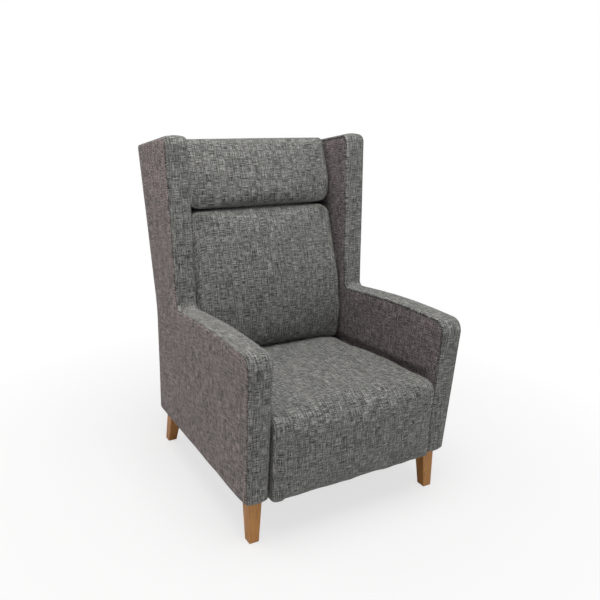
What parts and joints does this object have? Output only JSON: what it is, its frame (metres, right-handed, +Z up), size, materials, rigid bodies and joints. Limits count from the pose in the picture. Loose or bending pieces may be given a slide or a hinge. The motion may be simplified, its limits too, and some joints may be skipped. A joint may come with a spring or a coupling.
{
  "type": "high back lounge chair",
  "caption": "High back wing armchair with a sprung seat, a back cushion, a head pillow and tapered wood legs, for lounges, lobbies and quiet office corners.",
  "frame": {"origin": "middle of the footprint's bounding box, on the floor under the leg glides", "axes": "+Z up, the chair faces -Y, +X to the right seen from the front"},
  "size_m": [0.742, 0.8414, 1.1218],
  "materials": {
    "fabric": "grey melange linen-look weave with light and dark slubs",
    "foam": "cut polyurethane foam",
    "felt": "needled felt",
    "webbing": "woven elastic webbing",
    "dust_cloth": "black non-woven cloth",
    "frame_wood": "planed beech, unfinished",
    "leg_wood": "natural oak, satin lacquer",
    "steel": "zinc plated",
    "glide": "moulded nylon"
  },
  "bodies": {
    "root": {"outer_side_cover_left": "fabric", "outer_side_cover_right": "fabric", "inner_side_cover_left": "fabric", "inner_side_cover_right": "fabric", "boxing_band_left": "fabric", "boxing_band_right": "fabric", "outer_side_foam_left": "foam", "outer_side_foam_right": "foam", "inner_side_foam_left": "foam", "inner_side_foam_right": "foam", "bottom_rail_left": "frame_wood", "bottom_rail_right": "frame_wood", "front_post_left": "frame_wood", "front_post_right": "frame_wood", "arm_rail_left": "frame_wood", "arm_rail_right": "frame_wood", "rear_post_left": "frame_wood", "rear_post_right": "frame_wood", "wing_post_left": "frame_wood", "wing_post_right": "frame_wood", "wing_top_rail_left": "frame_wood", "wing_top_rail_right": "frame_wood", "front_leg_left": "leg_wood", "front_leg_right": "leg_wood", "rear_leg_left": "leg_wood", "rear_leg_right": "leg_wood", "front_leg_bolt_left": "steel", "front_leg_bolt_right": "steel", "rear_leg_bolt_left": "steel", "rear_leg_bolt_right": "steel", "front_glide_left": "glide", "front_glide_right": "glide", "rear_glide_left": "glide", "rear_glide_right": "glide", "seat_side_rail_left": "frame_wood", "seat_side_rail_right": "frame_wood", "seat_front_rail": "frame_wood", "seat_rear_rail": "frame_wood", "seat_bolt_front_left": "steel", "seat_bolt_front_right": "steel", "seat_bolt_rear_left": "steel", "seat_bolt_rear_right": "steel", "seat_spring_1": "steel", "seat_spring_2": "steel", "seat_spring_3": "steel", "seat_spring_4": "steel", "spring_pad": "felt", "seat_foam": "foam", "seat_cover": "fabric", "dust_cover": "dust_cloth", "back_top_rail": "frame_wood", "lumbar_rail": "frame_wood", "webbing_strap_left": "webbing", "webbing_strap_middle": "webbing", "webbing_strap_right": "webbing", "back_foam": "foam", "head_foam": "foam", "back_cushion_cover": "fabric", "head_pillow_cover": "fabric", "outside_back_panel": "fabric"}
  },
  "joints": []
}
